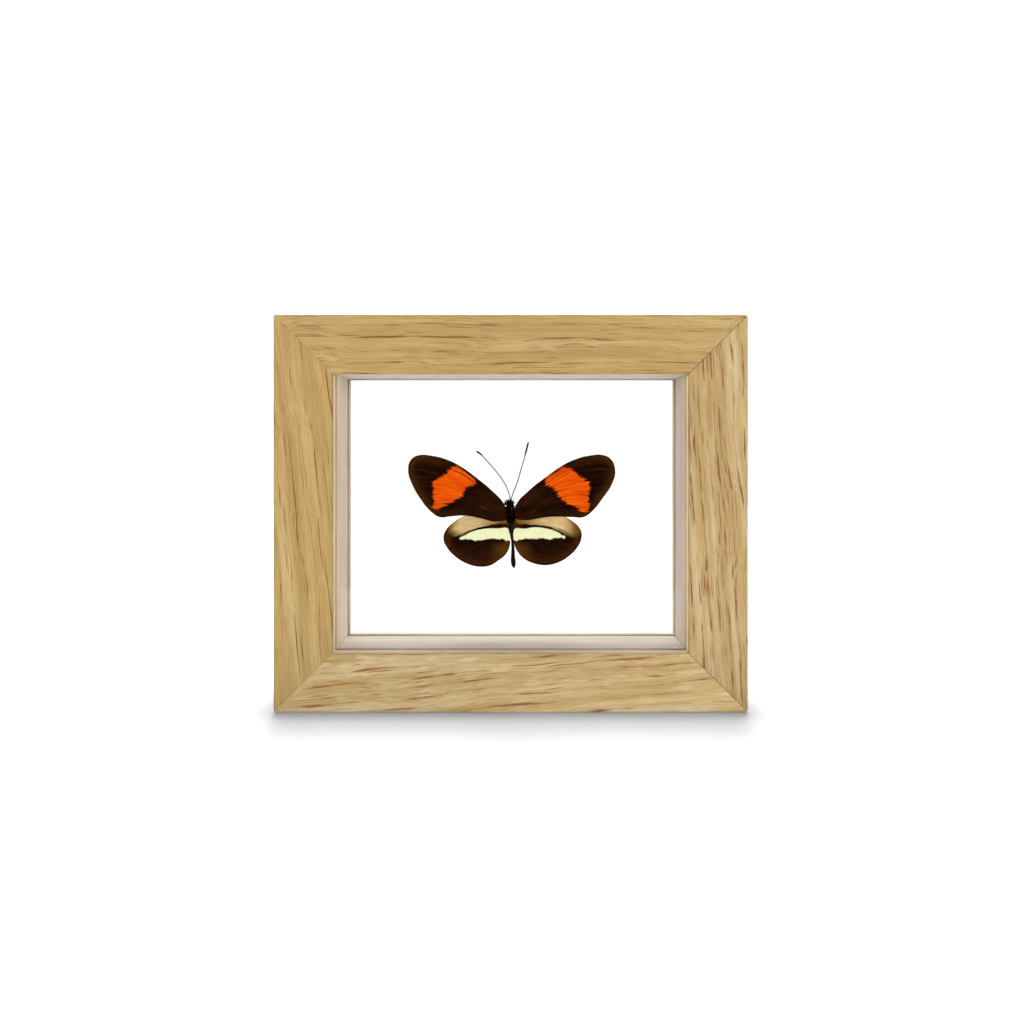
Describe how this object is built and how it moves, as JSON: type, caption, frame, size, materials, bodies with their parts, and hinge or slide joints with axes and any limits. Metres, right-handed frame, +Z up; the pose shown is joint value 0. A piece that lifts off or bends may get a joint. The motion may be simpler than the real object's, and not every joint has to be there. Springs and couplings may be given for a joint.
{
  "type": "framed butterfly specimen",
  "caption": "Spread longwing butterfly held between clear panes in a small pale oak shadow-box frame that stands on its lower rail or hangs flat on a wall.",
  "frame": {"origin": "centre of the frame's footprint, on the underside of the lower rail", "axes": "+X to the viewer's right, +Y from the front of the frame to its back, +Z up"},
  "size_m": [0.15, 0.03, 0.1257],
  "materials": {
    "oak": "pale oak with a thin satin oil finish, long dark pores along each rail",
    "lining": "limed pale strip, matt, with faint streaks along its length",
    "stop_wood": "pale planed strip, matt",
    "glass": "clear float glass",
    "wing_scales": "dark brown scales with an orange patch, a cream bar and a buff border",
    "body_fur": "short black fur over dark segmented skin",
    "antenna_horn": "thin dark horn, satin",
    "glue": "clear set glue"
  },
  "bodies": {
    "root": {"rail_top": "oak", "rail_bottom": "oak", "rail_left": "oak", "rail_right": "oak", "lining_top": "lining", "lining_bottom": "lining", "lining_left": "lining", "lining_right": "lining", "back_stop_top": "stop_wood", "back_stop_bottom": "stop_wood", "back_stop_left": "stop_wood", "back_stop_right": "stop_wood", "glass_front": "glass", "glass_back": "glass", "butterfly_body": "body_fur", "forewing_left": "wing_scales", "forewing_right": "wing_scales", "hindwing_left": "wing_scales", "hindwing_right": "wing_scales", "antenna_left": "antenna_horn", "antenna_right": "antenna_horn", "glue_spot": "glue"}
  },
  "joints": []
}
